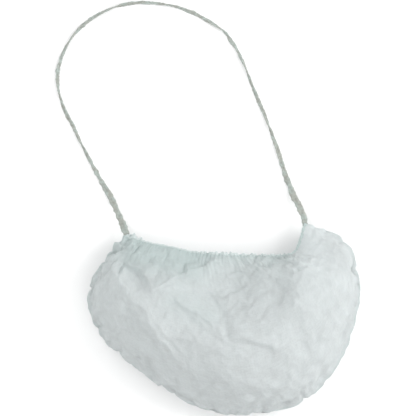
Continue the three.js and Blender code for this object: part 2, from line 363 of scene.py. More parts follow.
def noise_along(run, size, seed):
    """The same noise at lengths along a line."""
    zeros = np.zeros_like(run)
    return noise_at(np.column_stack((run, zeros, zeros)), size, seed)


def length_along(points):
    """Length of a line of points up to each of them."""
    return np.concatenate(([0], np.cumsum(np.linalg.norm(np.diff(points, axis=0), axis=1))))


def read_sections(place):
    """Smooth reading of the section table at places between its rows."""
    row = np.minimum(np.floor(place).astype(int), LAST_SECTION - 1)
    part = (place - row)[..., None]

    def at(index):
        return SECTION_ROWS[np.clip(index, 0, LAST_SECTION)]

    slope_before = (at(row + 1) - at(row - 1)) / 2
    slope_after = (at(row + 2) - at(row)) / 2
    square, cube = part**2, part**3
    values = ((2 * cube - 3 * square + 1) * at(row) + (cube - 2 * square + part) * slope_before
              + (3 * square - 2 * cube) * at(row + 1) + (cube - square) * slope_after)
    return {name: values[..., column] for column, name in enumerate(SECTION_NAMES)}


def crown_height(section, along):
    left = blend(section["cheek_left"], section["panel"],
                 smooth_step(along, CHEEK_LEFT_AT, PANEL_AT))
    right = blend(section["panel"], section["cheek_right"],
                  smooth_step(along, PANEL_AT, CHEEK_RIGHT_AT))
    return np.where(along < PANEL_AT, left, right)


def distance_to(x, y, start, end):
    """Distance in plan to a straight run between two points."""
    run_x, run_y = end[0] - start[0], end[1] - start[1]
    share = ((x - start[0]) * run_x + (y - start[1]) * run_y) / (run_x**2 + run_y**2)
    share = np.clip(share, 0, 1)
    return np.hypot(x - start[0] - share * run_x, y - start[1] - share * run_y)


def line_heights(x, y, rows):
    """Sum of the rows' heights at places in plan, which fade with the distance to each line."""
    height = np.zeros_like(x)
    for from_x, from_y, to_x, to_y, width, rise in rows:
        away = distance_to(x, y, (from_x, from_y), (to_x, to_y))
        height += rise * np.exp(-(away / width) ** 2)
    return height


def chance_crease(chance, middle, angle, limits):
    """Width, height and line of one crease with a chance lean, length, bend and height."""
    lean = angle + chance.normal(0, limits["lean"])
    half = chance.uniform(*limits["half"]) * np.array((math.cos(lean), math.sin(lean)))
    bend = chance.normal(0, limits["bend"], 2)
    rise = chance.uniform(*limits["rise"]) * (1 if chance.random() < limits["ridges"] else -1)
    return (chance.uniform(*limits["width"]), rise,
            (tuple(middle - half), tuple(middle + bend), tuple(middle + half)))


def small_crease_rows():
    """Rows of small creases at chance places, along rings round the mouth."""
    chance = np.random.default_rng(SMALL_CREASE_SEED)
    rows = []
    for _ in range(SMALL_CREASES):
        middle = chance.uniform(*SMALL_CREASE_FIELD)
        out = middle - SMALL_CREASE_CENTRE
        angle = math.atan2(out[1], out[0]) + math.pi / 2
        rows.append(chance_crease(chance, middle, angle, SMALL_CREASE))
    return tuple(rows)


def wall_crease_rows():
    """Rows of thin creases at chance places of the flat cloth, most of them along its radius."""
    chance = np.random.default_rng(WALL_CREASE_SEED)
    rows = []
    for _ in range(WALL_CREASES):
        angle = chance.uniform(0, FULL_TURN)
        middle = chance.uniform(*WALL_CREASE_FIELD) * np.array((math.cos(angle), math.sin(angle)))
        rows.append(chance_crease(chance, middle, angle, WALL_CREASE))
    return tuple(rows)


def crease_height(x, y, rows):
    """Height that thin creases add at places in plan; their lines wander a little."""
    spots = np.stack((x, y, np.zeros_like(x)), axis=-1)
    x = x + CREASE_WANDER * noise_at(spots, CREASE_WANDER_SIZE, CREASE_WANDER_SEEDS[0])
    y = y + CREASE_WANDER * noise_at(spots, CREASE_WANDER_SIZE, CREASE_WANDER_SEEDS[1])
    height = np.zeros_like(x)
    for width, rise, line in rows:
        away = np.min([distance_to(x, y, *pair) for pair in zip(line, line[1:])], axis=0)
        height += rise * np.exp(-(away / width) ** 2)
    return height


def along_section(turn):
    """Share of the way from the left end of a section to its right end."""
    return (1 - np.cos(FULL_TURN * turn)) / 2


def section_lift(turn):
    """0 at the two ends of a section and 1 in its middle, on the top and underneath."""
    return np.abs(np.sin(FULL_TURN * turn))


def on_top(turn):
    """Whether a place of a section is on the top of the pouch."""
    return np.sin(FULL_TURN * turn) >= 0


def pouch_points(turn, depth, fold_share):
    """Outside of the pouch in millimetres. turn goes once round a section, from the left end
    over the top and back underneath; depth goes from the mouth (0) to the bottom (1)."""
    section = read_sections(depth * LAST_SECTION)
    along, lift, top = along_section(turn), section_lift(turn), on_top(turn)
    lip = np.interp(along, LIP_ALONG, LIP_SHARE)
    bow = blend(lip, 4 * along * (1 - along), smooth_step(depth, 0, LIP_FADE))
    x = blend(section["left_x"], section["right_x"], along)
    y = blend(section["left_y"], section["right_y"], along) - section["sag"] * bow
    crown = blend(section["edge"], crown_height(section, along), lift**CROWN_FULLNESS)
    fuller = blend(FOLD_LEFT_FULLNESS, 1, smooth_step(x, *FOLD_FULLNESS_RANGE))
    fold = fold_share * fuller * line_heights(x, y, FOLD_ROWS) * smooth_step(lift, *FOLD_FADE)
    under = np.maximum(0, section["under"])
    below = np.maximum(under, blend(section["edge"], under, section["drop"] * lift))
    z = np.where(top, crown + fold, below)
    y = np.where(top, y, y - section["setback"] * lift)
    return np.stack((x, y, z), axis=-1)


def cloth_grid(cells):
    """Places of a square grid on the round cut of cloth: turn, depth and flat x, y."""
    steps = np.arange(-cells, cells + 1) / cells
    a, b = np.meshgrid(steps, steps, indexing="ij")
    reach = np.maximum(np.abs(a), np.abs(b))
    wide = np.abs(a) >= np.abs(b)
    with np.errstate(divide="ignore", invalid="ignore"):
        angle = np.where(wide, math.pi / 4 * b / a, math.pi / 2 - math.pi / 4 * a / b)
    angle = np.nan_to_num(angle)
    angle = angle + np.where(np.where(wide, a, b) < 0, math.pi, 0)
    turn = (angle / FULL_TURN) % 1
    flat = np.stack((-reach * np.cos(angle), reach * np.sin(angle)), axis=-1)
    return turn, 1 - reach, flat


def grid_normals(points):
    """Directions out of the cloth on a grid of points. A corner of the grid takes the direction
    of the place next to it inside the grid."""
    normals = np.cross(np.gradient(points, axis=1), np.gradient(points, axis=0))
    for row, column in ((0, 0), (0, -1), (-1, 0), (-1, -1)):
        normals[row, column] = normals[(1, -2)[row], (1, -2)[column]]
    return normals / np.maximum(np.linalg.norm(normals, axis=-1, keepdims=True), TINY)


def grid_faces(size, start, flipped):
    corner = start + np.arange(size * size).reshape(size, size)
    faces = np.stack((corner[:-1, :-1], corner[:-1, 1:], corner[1:, 1:], corner[1:, :-1]),
                     axis=-1)
    faces = faces.reshape(-1, 4)
    return faces[:, ::-1] if flipped else faces


def grid_edge(size, ring=0):
    """Grid corners in order round the edge, or round a ring further in."""
    corner = np.arange(size * size).reshape(size, size)[ring:size - ring, ring:size - ring]
    return np.concatenate((corner[0, :-1], corner[:-1, -1], corner[-1, :0:-1], corner[:0:-1, 0]))


def tube_faces(rows, sides):
    """Faces between the rows of a tube that closes on itself, row by row."""
    corner = np.arange(rows * sides).reshape(rows, sides)
    beside = np.roll(corner, -1, axis=1)
    return np.stack((corner, np.roll(corner, -1, axis=0), np.roll(beside, -1, axis=0), beside),
                    axis=-1)


def new_piece(name, vertices, faces):
    mesh = bpy.data.meshes.new(name)
    mesh.from_pydata([tuple(map(float, point)) for point in vertices], [],
                     [tuple(map(int, face)) for face in faces])
    mesh.validate()
    mesh.shade_smooth()
    piece = bpy.data.objects.new(name, mesh)
    bpy.context.scene.collection.objects.link(piece)
    return piece


def mesh_points(mesh):
    places = np.empty(len(mesh.vertices) * 3)
    mesh.vertices.foreach_get("co", places)
    return places.reshape(-1, 3)


def set_uv(mesh, coordinates):
    layer = mesh.uv_layers.new(name="Cloth")
    corners = np.empty(len(mesh.loops), dtype=np.int32)
    mesh.loops.foreach_get("vertex_index", corners)
    layer.data.foreach_set("uv", np.asarray(coordinates, dtype=np.float32)[corners].ravel())


def set_float(mesh, name, values):
    mesh.attributes.new(name, "FLOAT", "POINT").data.foreach_set(
        "value", np.asarray(values, dtype=np.float32).ravel())


def set_vector(mesh, name, values):
    mesh.attributes.new(name, "FLOAT_VECTOR", "POINT").data.foreach_set(
        "vector", np.asarray(values, dtype=np.float32).ravel())


class NodeMaker:
    """Adds nodes to a tree and joins them. A Mix node's colour sockets share their names with its
    other sockets, so they go by number."""

    MIX_COLOURS = (6, 7)
    MIX_RESULT = 2

    def __init__(self, tree):
        self.tree = tree

    def add(self, kind, settings=None, inputs=None):
        node = self.tree.nodes.new(kind)
        for name, value in (settings or {}).items():
            setattr(node, name, value)
        for name, value in (inputs or {}).items():
            if isinstance(value, bpy.types.NodeSocket):
                self.tree.links.new(value, node.inputs[name])
            else:
                node.inputs[name].default_value = value
        return node

    def math(self, operation, first, second=0.0):
        return self.add("ShaderNodeMath", {"operation": operation},
                        {0: first, 1: second}).outputs[0]

    def mix(self, share, first, second):
        node = self.add("ShaderNodeMix", {"data_type": "RGBA"}, {"Factor": share})
        for number, value in zip(self.MIX_COLOURS, (first, second)):
            if isinstance(value, bpy.types.NodeSocket):
                self.tree.links.new(value, node.inputs[number])
            else:
                node.inputs[number].default_value = value
        return node.outputs[self.MIX_RESULT]

    def noise(self, place, scale, detail, roughness=0.5, distortion=0.0):
        return self.add("ShaderNodeTexNoise", None, {
            "Vector": place, "Scale": scale, "Detail": detail, "Roughness": roughness,
            "Distortion": distortion}).outputs["Fac"]

    def attribute(self, name):
        return self.add("ShaderNodeAttribute", {"attribute_name": name}).outputs["Fac"]

    def ramp(self, value, low, high):
        return self.add("ShaderNodeMapRange", {"interpolation_type": "SMOOTHSTEP"},
                        {"Value": value, "From Min": low, "From Max": high}).outputs["Result"]


def solid(colour, share=1.0):
    return (*(channel * share for channel in colour), 1.0)


def new_material(name):
    """An empty material and the maker of its nodes."""
    material = bpy.data.materials.new(name)
    material.use_nodes = True
    material.node_tree.nodes.clear()
    return material, NodeMaker(material.node_tree)


def cloth_material(name, colour, dense_and_shade_colour, see_through):
    """Spunbonded nonwoven: cloudy fibre web, pressed bond points and light that comes through."""
    material, make = new_material(name)
    place = make.add("ShaderNodeTexCoord").outputs["Object"]
    flat = make.add("ShaderNodeUVMap", {"uv_map": "Cloth"}).outputs["UV"]
    cloud = make.noise(flat, scale=90.0, detail=5.0, roughness=0.62)
    web = make.noise(flat, scale=420.0, detail=4.0, roughness=0.7, distortion=1.2)
    fibres = []
    for turn, seed in ((0.4, 0.0), (-0.5, 3.1), (1.3, 7.7)):
        turned = make.add("ShaderNodeMapping", None, {
            "Vector": flat, "Location": (seed, seed, 0.0), "Rotation": (0.0, 0.0, turn),
            "Scale": (260.0, 2600.0, 1.0)}).outputs["Vector"]
        strand = make.noise(turned, scale=1.0, detail=2.0)
        fibres.append(make.ramp(strand, 0.52, 0.68))
    strands = make.math("MAXIMUM", make.math("MAXIMUM", fibres[0], fibres[1]), fibres[2])
    bonds = make.add("ShaderNodeTexVoronoi", {"feature": "F1"}, {
        "Vector": flat, "Scale": 620.0, "Randomness": 0.25}).outputs["Distance"]
    bond = make.ramp(bonds, 0.34, 0.18)
    density = make.math("ADD", make.math("MULTIPLY", cloud, 0.6), make.math("MULTIPLY", web, 0.4))
    density = make.ramp(density, 0.34, 0.66)
    tone = make.mix(density, solid(colour, 0.93), solid(colour, 1.03))
    tone = make.mix(make.math("MULTIPLY", strands, 0.35), tone, solid(colour, 1.1))
    tone = make.mix(make.math("MULTIPLY", bond, 0.25), tone, solid(colour, 0.86))
    # Darker where the gathered attribute is set: the hem's gathers and painted shade.
    tone = make.mix(make.attribute("gathered"), tone, solid(dense_and_shade_colour))
    # Lighter where the thin attribute is set: painted light.
    tone = make.mix(make.attribute("thin"), tone, solid(colour, PAINTED_LIGHT_TONE))
    height = make.math("ADD", make.math("MULTIPLY", strands, 0.5),
                       make.math("MULTIPLY", web, 0.6))
    height = make.math("SUBTRACT", height, make.math("MULTIPLY", bond, 0.8))
    crease = make.noise(place, scale=240.0, detail=3.0, roughness=0.6, distortion=0.6)
    crumple = make.add("ShaderNodeBump", None, {
        "Strength": 0.5, "Distance": 0.0006, "Height": crease}).outputs["Normal"]
    bump = make.add("ShaderNodeBump", None, {
        "Strength": 0.35, "Distance": 0.00012, "Height": height,
        "Normal": crumple}).outputs["Normal"]
    surface = make.add("ShaderNodeBsdfPrincipled", None, {
        "Base Color": tone, "Normal": bump,
        "Roughness": make.math("ADD", make.math("MULTIPLY", bond, -0.2), 0.72),
        "Specular IOR Level": 0.3, "Sheen Weight": 0.12, "Sheen Roughness": 0.5})
    through = make.add("ShaderNodeBsdfTranslucent", None, {"Color": tone, "Normal": bump})
    mixed = make.add("ShaderNodeMixShader", None, {
        "Fac": see_through, 1: surface.outputs["BSDF"], 2: through.outputs["BSDF"]})
    make.add("ShaderNodeOutputMaterial", None, {"Surface": mixed.outputs["Shader"]})
    return material


def elastic_material(name, colour):
    """Crinkled covered elastic: ribs along the strip with painted highlights on their crests, cross
    wrinkles with painted shade in their troughs, painted shade in the hollows and painted
    highlights in cool patches.
    """
    material, make = new_material(name)
    along = make.add("ShaderNodeUVMap", {"uv_map": "Cloth"}).outputs["UV"]
    stretched = make.add("ShaderNodeMapping", None, {
        "Vector": along, "Scale": (1400.0, 320.0, 1.0)}).outputs["Vector"]
    ribs = make.noise(stretched, scale=1.0, detail=3.0, roughness=0.6)
    crossed = make.add("ShaderNodeMapping", None, {
        "Vector": along, "Scale": (300.0, 1100.0, 1.0)}).outputs["Vector"]
    wrinkles = make.noise(crossed, scale=1.0, detail=3.0, roughness=0.6, distortion=0.8)
    patches = make.noise(along, scale=160.0, detail=3.0)
    # Lighter cool patches at random along the strip: painted highlights.
    highlight_tone = tuple(channel * share for channel, share in zip(colour, HIGHLIGHT_TINT))
    tone = make.mix(make.ramp(patches, 0.38, 0.62), solid(colour, 0.94), solid(highlight_tone))
    # Painted shade in the troughs of the cross wrinkles.
    tone = make.mix(make.math("MULTIPLY", make.ramp(wrinkles, 0.55, 0.35), 0.6), tone,
                    solid(colour, 0.66))
    # Painted highlight on the crests of the ribs.
    tone = make.mix(make.math("MULTIPLY", make.ramp(ribs, 0.52, 0.66), 0.5), tone,
                    solid(colour, 1.3))
    # Painted shade in the groove and in the crinkles' hollows.
    tone = make.mix(make.attribute("hollow"), tone, solid(colour, 0.62))
    height = make.math("ADD", make.math("MULTIPLY", ribs, 0.5), wrinkles)
    bump = make.add("ShaderNodeBump", None, {
        "Strength": 0.8, "Distance": 0.0006, "Height": height}).outputs["Normal"]
    surface = make.add("ShaderNodeBsdfPrincipled", None, {
        "Base Color": tone, "Normal": bump, "Roughness": make.math(
            "ADD", make.math("MULTIPLY", ribs, 0.2), 0.6),
        "Specular IOR Level": 0.35, "Sheen Weight": 0.1})
    make.add("ShaderNodeOutputMaterial", None, {"Surface": surface.outputs["BSDF"]})
    return material


def floor_material(colour):
    material, make = new_material("Studio floor")
    place = make.add("ShaderNodeTexCoord").outputs["Object"]
    grain = make.noise(place, scale=3.0, detail=2.0)
    tone = make.mix(grain, solid(colour, 0.995), solid(colour))
    surface = make.add("ShaderNodeBsdfPrincipled", None, {
        "Base Color": tone, "Roughness": 0.95, "Specular IOR Level": 0.0})
    make.add("ShaderNodeOutputMaterial", None, {"Surface": surface.outputs["BSDF"]})
    return material


def loop_route():
    """Centre line of the loop in metres, a Catmull-Rom curve through the route's points."""
    last = len(LOOP_ROUTE) - 1
    index = np.arange(last + 1)
    rise = 1 - smooth_step(np.minimum(index, last - index), 0, LOOP_RISE_POINTS)
    heights = blend(LOOP_REST_HEIGHT, LOOP_END_HEIGHT, rise)
    points = np.column_stack((np.array(LOOP_ROUTE), heights)) * MM
    before_first, after_last = 2 * points[:1] - points[1:2], 2 * points[-1:] - points[-2:-1]
    padded = np.concatenate((before_first, points, after_last))
    route = []
    for start in range(last):
        before, first, second, after = padded[start:start + 4]
        for step in range(LOOP_STEPS_PER_POINT):
            share = step / LOOP_STEPS_PER_POINT
            route.append(0.5 * (2 * first + (second - before) * share
                                + (2 * before - 5 * first + 4 * second - after) * share**2
                                + (3 * first - before - 3 * second + after) * share**3))
    route.append(points[-1])
    return np.array(route)


def loop_turns(loop, run):
    """Angles by which the strip is turned about its centre line."""
    total = run[-1]
    from_end = np.minimum(run, total - run)
    twisting = np.clip((run - loop.flat_end) / (total - 2 * loop.flat_end), 0, 1)
    free = smooth_step(from_end, loop.flat_end - LOOP_FREE_BLEND, loop.flat_end + LOOP_FREE_BLEND)
    twist = loop.half_turns * twisting
    twist = twist - LOOP_FLIP * np.sin(FULL_TURN * twist) / FULL_TURN
    sway = noise_along(run, *LOOP_SWAY_NOISE)
    return math.pi * twist + (LOOP_SWAY[0] + LOOP_SWAY[1] * free) * sway


def loop_sections(loop, run):
    """Places round the strip across it and off its flat side, and the painted shade of its hollows.
    """
    from_end = np.minimum(run, run[-1] - run)
    widening = 1 - smooth_step(from_end, *LOOP_WIDE_END)
    width = blend(loop.top_width, loop.end_width, widening)
    width = width * (1 + LOOP_UNEVEN * noise_along(run, *LOOP_WIDTH_NOISE))
    thick = loop.thickness * (1 + LOOP_UNEVEN * noise_along(run, *LOOP_THICKNESS_NOISE))
    angle = FULL_TURN * np.arange(LOOP_SIDES) / LOOP_SIDES
    cos, sin = np.cos(angle)[None, :], np.sin(angle)[None, :]
    across = cos * width[:, None] / 2
    groove = np.exp(-(cos / LOOP_GROOVE_WIDTH) ** 2)
    rise = sin * thick[:, None] / 2 * (1 - LOOP_GROOVE_DEPTH * groove)
    around = np.broadcast_arrays(run[:, None], cos * LOOP_CRINKLE_RADIUS, sin * LOOP_CRINKLE_RADIUS)
    crinkle = noise_at(np.stack(around, axis=-1), *LOOP_CRINKLE_NOISE)
    across = across * (1 + LOOP_CRINKLE_ACROSS * crinkle)
    rise = rise * (1 + LOOP_CRINKLE_RISE * crinkle)
    # Painted shade: darker in the groove and where the crinkle dips.
    hollow = np.clip(HOLLOW_OF_GROOVE * groove - crinkle * HOLLOW_OF_CRINKLE, 0, 1) * HOLLOW_SHADE_SHARE
    return across, rise, hollow


class BeardCoverPouch(bpy.types.PropertyGroup):
    """Sizes and colours of the cloth pouch."""

    thickness: bpy.props.FloatProperty(
        name="Cloth thickness", description="Thickness of the nonwoven cloth",
        default=0.0004, min=0.0001, max=0.003, precision=5, unit="LENGTH")
    fold_share: bpy.props.FloatProperty(
        name="Fold height", description="Height of the large folds as a share of their table's",
        default=0.42, min=0.0, max=2.0)
    gather_count: bpy.props.IntProperty(
        name="Gathers", description="Fine gathers round the mouth",
        default=150, min=10, max=300)
    gather_depth: bpy.props.FloatProperty(
        name="Gather depth", description="Height of the fine gathers at the mouth",
        default=0.00025, min=0.0, max=0.003, precision=5, unit="LENGTH")
    pleat_count: bpy.props.IntProperty(
        name="Pleats", description="Wider pleats that run further from the mouth",
        default=47, min=5, max=100)
    pleat_depth: bpy.props.FloatProperty(
        name="Pleat depth", description="Height of the wider pleats",
        default=0.0003, min=0.0, max=0.005, precision=5, unit="LENGTH")
    ease: bpy.props.FloatProperty(
        name="Ease", description="Share by which the cloth is larger than its place",
        default=0.06, min=0.0, max=0.2, subtype="FACTOR")
    crumple_limit: bpy.props.FloatProperty(
        name="Crumple limit", description="Furthest that the simulation may move a point",
        default=0.005, min=0.0, max=0.02, precision=4, unit="LENGTH")
    flat_width: bpy.props.FloatProperty(
        name="Flat width", description="Width of the oval that the cloth was cut to",
        default=0.33, min=0.1, max=1.0, unit="LENGTH")
    flat_length: bpy.props.FloatProperty(
        name="Flat length", description="Length of the oval that the cloth was cut to",
        default=0.24, min=0.1, max=1.0, unit="LENGTH")
    colour: bpy.props.FloatVectorProperty(
        name="Cloth colour", description="Colour of the nonwoven cloth", subtype="COLOR",
        size=3, min=0.0, max=1.0, default=(0.771, 0.803, 0.805))
    # This colour serves the hem's gathers and also the painted shade under the rim and along the
    # sides.
    gathers_and_shade_colour: bpy.props.FloatVectorProperty(
        name="Gathered colour", description="Colour where the cloth lies in close gathers",
        subtype="COLOR", size=3, min=0.0, max=1.0, default=(0.60, 0.69, 0.68))
    see_through: bpy.props.FloatProperty(
        name="See-through", description="Share of the light that comes through the cloth",
        default=0.45, min=0.0, max=1.0, subtype="FACTOR")


class BeardCoverHem(bpy.types.PropertyGroup):
    """Sizes and colour of the hem round the mouth."""

    width: bpy.props.FloatProperty(
        name="Hem width", description="Width of the hem from the cloth to its free edge",
        default=0.0026, min=0.001, max=0.02, precision=4, unit="LENGTH")
    thickness: bpy.props.FloatProperty(
        name="Hem thickness", description="Thickness of the gathered hem",
        default=0.0009, min=0.0003, max=0.01, precision=4, unit="LENGTH")
    overlap: bpy.props.FloatProperty(
        name="Hem overlap", description="How far the hem reaches back over the cloth",
        default=0.0012, min=0.0, max=0.01, precision=4, unit="LENGTH")
    flare: bpy.props.FloatProperty(
        name="Tie flare", description="How much wider the hem is beside the left end of the loop",
        default=0.0026, min=0.0, max=0.01, precision=4, unit="LENGTH")
    ruffle_count: bpy.props.FloatProperty(
        name="Ruffles", description="Ruffles round the mouth", default=54.0, min=5.0, max=300.0)
    ruffle_depth: bpy.props.FloatProperty(
        name="Ruffle depth", description="Height of the ruffles",
        default=0.0006, min=0.0, max=0.01, precision=5, unit="LENGTH")
    colour: bpy.props.FloatVectorProperty(
        name="Hem colour", description="Colour of the gathered hem", subtype="COLOR",
        size=3, min=0.0, max=1.0, default=(0.70, 0.755, 0.75))


class BeardCoverLoop(bpy.types.PropertyGroup):
    """Sizes and colour of the elastic head loop."""

    end_width: bpy.props.FloatProperty(
        name="Width at the ends", description="Width of the strip where it leaves the mouth",
        default=0.004, min=0.001, max=0.02, precision=4, unit="LENGTH")
    top_width: bpy.props.FloatProperty(
        name="Width at the top", description="Width of the strip far from the mouth",
        default=0.0023, min=0.001, max=0.02, precision=4, unit="LENGTH")
    thickness: bpy.props.FloatProperty(
        name="Thickness", description="Thickness of the strip", default=0.0012, min=0.0003,
        max=0.01, precision=4, unit="LENGTH")
    half_turns: bpy.props.IntProperty(
        name="Half turns", description="Half turns that the strip makes between its flat ends",
        default=8, min=0, max=60)
    flat_end: bpy.props.FloatProperty(
        name="Flat ends", description="Length of strip that lies flat at each end",
        default=0.055, min=0.0, max=0.15, precision=4, unit="LENGTH")
    diameter: bpy.props.FloatProperty(
        name="Diameter", description="Diameter of the loop as the CAD part gives it",
        default=0.003, min=0.001, max=0.02, precision=4, unit="LENGTH")
    colour: bpy.props.FloatVectorProperty(
        name="Loop colour", description="Colour of the covered elastic", subtype="COLOR",
        size=3, min=0.0, max=1.0, default=(0.375, 0.39, 0.355))


class BeardCoverStage(bpy.types.PropertyGroup):
    """Camera, floor and lights."""

    look_at: bpy.props.FloatVectorProperty(
        name="Look at", description="Point on the table in the middle of the picture",
        subtype="XYZ", unit="LENGTH", size=3, default=(-0.0104, 0.0734, 0.0))
    distance: bpy.props.FloatProperty(
        name="Camera distance", description="Distance of the camera from that point",
        default=3.5, min=0.2, max=10.0, unit="LENGTH")
    elevation: bpy.props.FloatProperty(
        name="Camera elevation", description="Angle of the camera above the table",
        subtype="ANGLE", default=math.radians(86.0), min=0.1, max=math.radians(89.9))
    picture_width: bpy.props.FloatProperty(
        name="Picture width", description="Width of the table in the picture",
        default=0.283, min=0.05, max=2.0, unit="LENGTH")
    key_power: bpy.props.FloatProperty(
        name="Key light", description="Power of the soft light on the right", default=7.8,
        min=0.0, max=1000.0, unit="POWER")
    ambient: bpy.props.FloatProperty(
        name="Ambient light", description="Strength of the light from all round", default=0.905,
        min=0.0, max=5.0)
    floor_colour: bpy.props.FloatVectorProperty(
        name="Floor colour", description="Colour of the table", subtype="COLOR", size=3,
        min=0.0, max=1.0, default=(0.96, 0.96, 0.96))


class BEARDCOVER_OT_stage(bpy.types.Operator):
    """Make the camera, the floor and the lights"""

    bl_idname = "beard_cover.stage"
    bl_label = "Make stage"

    def execute(self, context):
        stage = context.scene.beard_cover_stage
        centre = Vector(stage.look_at)
        back = Vector((0.0, -math.cos(stage.elevation), math.sin(stage.elevation)))
        camera = bpy.data.cameras.new("Camera")
        camera.sensor_width = 36.0
        camera.lens = camera.sensor_width * stage.distance / stage.picture_width
        camera.clip_end = 50.0
        viewer = bpy.data.objects.new("Camera", camera)
        viewer.location = centre + back * stage.distance
        viewer.rotation_euler = (-back).to_track_quat("-Z", "Y").to_euler()
        context.scene.collection.objects.link(viewer)
        context.scene.camera = viewer

        corners = ((-1, -1), (1, -1), (1, 1), (-1, 1))
        floor = new_piece("Floor", [(x * FLOOR_HALF, y * FLOOR_HALF, 0) for x, y in corners],
                          [(0, 1, 2, 3)])
        floor.location.z = -FLOOR_DROP
        floor.data.materials.append(floor_material(stage.floor_colour))

        for name, place, size, share in LIGHT_ROWS:
            lamp = bpy.data.lights.new(name, "AREA")
            lamp.shape = "DISK"
            lamp.size = size
            lamp.energy = stage.key_power * share
            light = bpy.data.objects.new(name, lamp)
            light.location = place
            light.rotation_euler = (-(Vector(place) - centre)).to_track_quat("-Z", "Y").to_euler()
            context.scene.collection.objects.link(light)
        world = bpy.data.worlds.new("Studio")
        world.use_nodes = True
        sky = world.node_tree.nodes["Background"]
        sky.inputs["Color"].default_value = (1.0, 1.0, 1.0, 1.0)
        sky.inputs["Strength"].default_value = stage.ambient
        context.scene.world = world
        context.scene.view_settings.view_transform = "Standard"
        return {"FINISHED"}


class BEARDCOVER_OT_head_loop(bpy.types.Operator):
    """Make the crinkled elastic head loop"""

    bl_idname = "beard_cover.head_loop"
    bl_label = "Make head loop"

    def execute(self, context):
        loop = context.scene.beard_cover_loop
        route = loop_route()
        run = length_along(route)
        total = run[-1]
        forward = np.gradient(route, axis=0)
        forward /= np.linalg.norm(forward, axis=1, keepdims=True)
        side = np.cross(forward, (0, 0, 1))
        side /= np.linalg.norm(side, axis=1, keepdims=True)
        up = np.cross(side, forward)
        turn = loop_turns(loop, run)
        across, rise, hollow = loop_sections(loop, run)
        cos, sin = np.cos(turn)[:, None], np.sin(turn)[:, None]
        sideways, upward = across * cos - rise * sin, across * sin + rise * cos
        points = (route[:, None, :] + sideways[..., None] * side[:, None, :]
                  + upward[..., None] * up[:, None, :])
        low = points[..., 2].min(axis=1)
        lying = smooth_step(np.minimum(run, total - run), *LOOP_LYING)
        points[..., 2] -= (lying * (low - TABLE_GAP))[:, None]
        points[..., 2] = np.maximum(points[..., 2], TABLE_GAP)
        count = len(route)
        first_end = np.arange(LOOP_SIDES)
        last_end = first_end[::-1] + (count - 1) * LOOP_SIDES
        sides = tube_faces(count, LOOP_SIDES)[:-1].reshape(-1, 4)
        piece = new_piece("HeadLoop", points.reshape(-1, 3), [*sides, first_end, last_end])
        round_strip = FULL_TURN * np.arange(LOOP_SIDES) / LOOP_SIDES * LOOP_CUT_RADIUS
        flat = np.stack(np.broadcast_arrays(round_strip[None, :], run[:, None]), axis=-1)
        set_uv(piece.data, flat.reshape(-1, 2))
        set_float(piece.data, "hollow", hollow)
        piece.data.materials.append(elastic_material("Covered elastic", loop.colour))
        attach(piece, "root")
        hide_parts("head_loop")
        return {"FINISHED"}


def round_mouth(turn, height):
    """Places on a round tube, so that noise meets itself after a full turn."""
    return np.stack((np.cos(FULL_TURN * turn), np.sin(FULL_TURN * turn), height), axis=-1)


def gather_rows(turn, depth, count, seed, wander):
    """Waves round the mouth, uneven in width, from -1 to 1."""
    spots = round_mouth(turn, depth * GATHER_WAVE_DEPTH)
    shift = noise_at(spots, GATHER_WAVE_SIZE, seed) * wander
    return np.sin(FULL_TURN * (turn * count) + shift)


def mouth_waves(points, turn, depth, settings):
    """Heights of the pleats and the fine gathers round the mouth, which only rise underneath."""
    reach = depth * PATH_LENGTH
    pleat = gather_rows(turn, depth, settings.pleat_count, PLEAT_SEED, PLEAT_WANDER)
    pleated = smooth_step(reach, *PLEAT_START) * (1 - smooth_step(reach, *PLEAT_END))
    rise = settings.pleat_depth * pleated * pleat
    fine = gather_rows(turn, depth, settings.gather_count, GATHER_SEED, GATHER_WANDER)
    uneven = 1 + GATHER_UNEVEN * noise_at(points, *GATHER_UNEVEN_NOISE)
    rise = rise + settings.gather_depth * np.exp(-reach / GATHER_FADE) * fine * uneven
    along = along_section(turn)
    rise = rise * blend(*GATHER_SIDES, smooth_step(along, *GATHER_SIDES_RANGE))
    rise = rise * (1 - GATHER_CORNER_LOSS * smooth_step(along, *GATHER_CORNER_RANGE))
    return np.where(on_top(turn), rise, rise + np.abs(rise))


